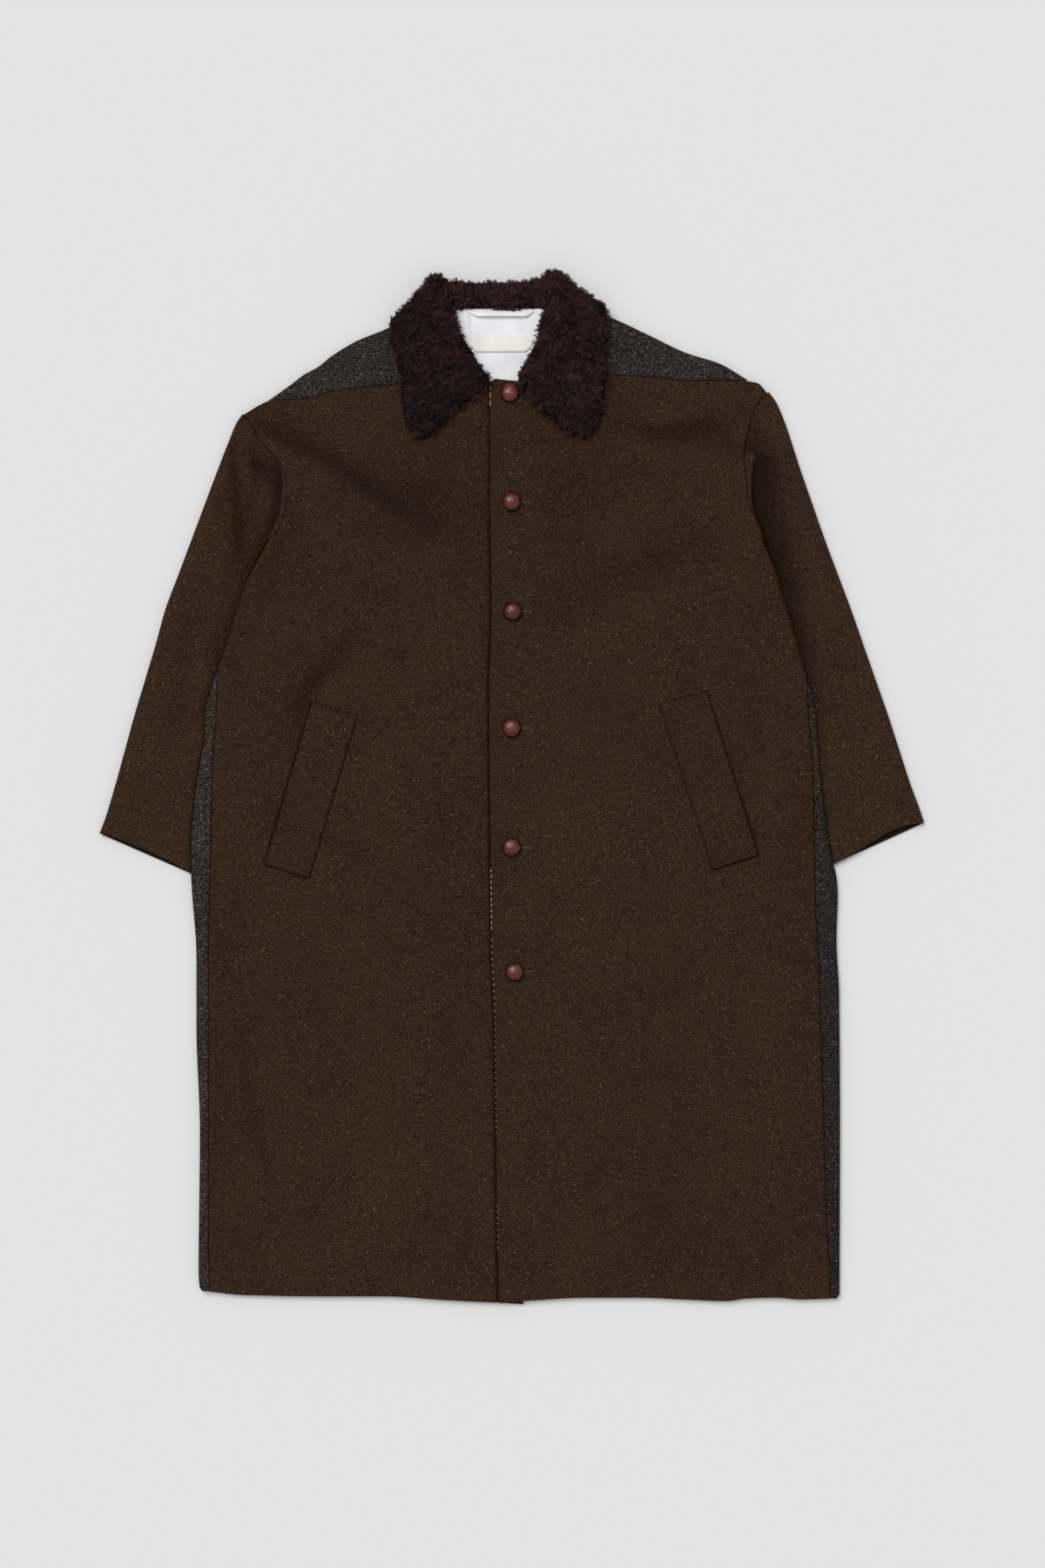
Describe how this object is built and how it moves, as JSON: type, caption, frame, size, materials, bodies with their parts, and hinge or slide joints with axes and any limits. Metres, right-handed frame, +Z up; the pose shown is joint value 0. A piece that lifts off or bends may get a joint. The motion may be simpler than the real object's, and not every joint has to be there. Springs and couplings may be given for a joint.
{
  "type": "overcoat",
  "caption": "Wide wool overcoat laid flat, front up and buttoned, with a pile collar, slanted welt pockets and short wide sleeves.",
  "frame": {"origin": "on the underside of the back, under the middle of the laid coat, halfway down the body", "axes": "+Y from the hem to the collar, +X towards the wearer's left, +Z up from the surface it lies on"},
  "size_m": [0.9486, 1.186, 0.0241],
  "materials": {
    "brown_wool": "milled wool twill, dark brown, napped",
    "grey_wool": "milled wool, charcoal melange",
    "pile": "short curly pile, aubergine brown",
    "lining": "smooth white lining cloth",
    "tape": "cream woven tape, blank",
    "leather": "brown leather over a dome"
  },
  "bodies": {
    "root": {"back": "grey_wool", "yoke_right": "grey_wool", "yoke_left": "grey_wool", "front_right": "brown_wool", "front_left": "brown_wool", "sleeve_right": "brown_wool", "sleeve_left": "brown_wool", "welt_right": "brown_wool", "welt_left": "brown_wool", "collar": "pile", "neck_lining": "lining", "hanger_loop": "lining", "neck_label": "tape", "button_1": "leather", "button_2": "leather", "button_3": "leather", "button_4": "leather", "button_5": "leather", "button_6": "leather"}
  },
  "joints": []
}
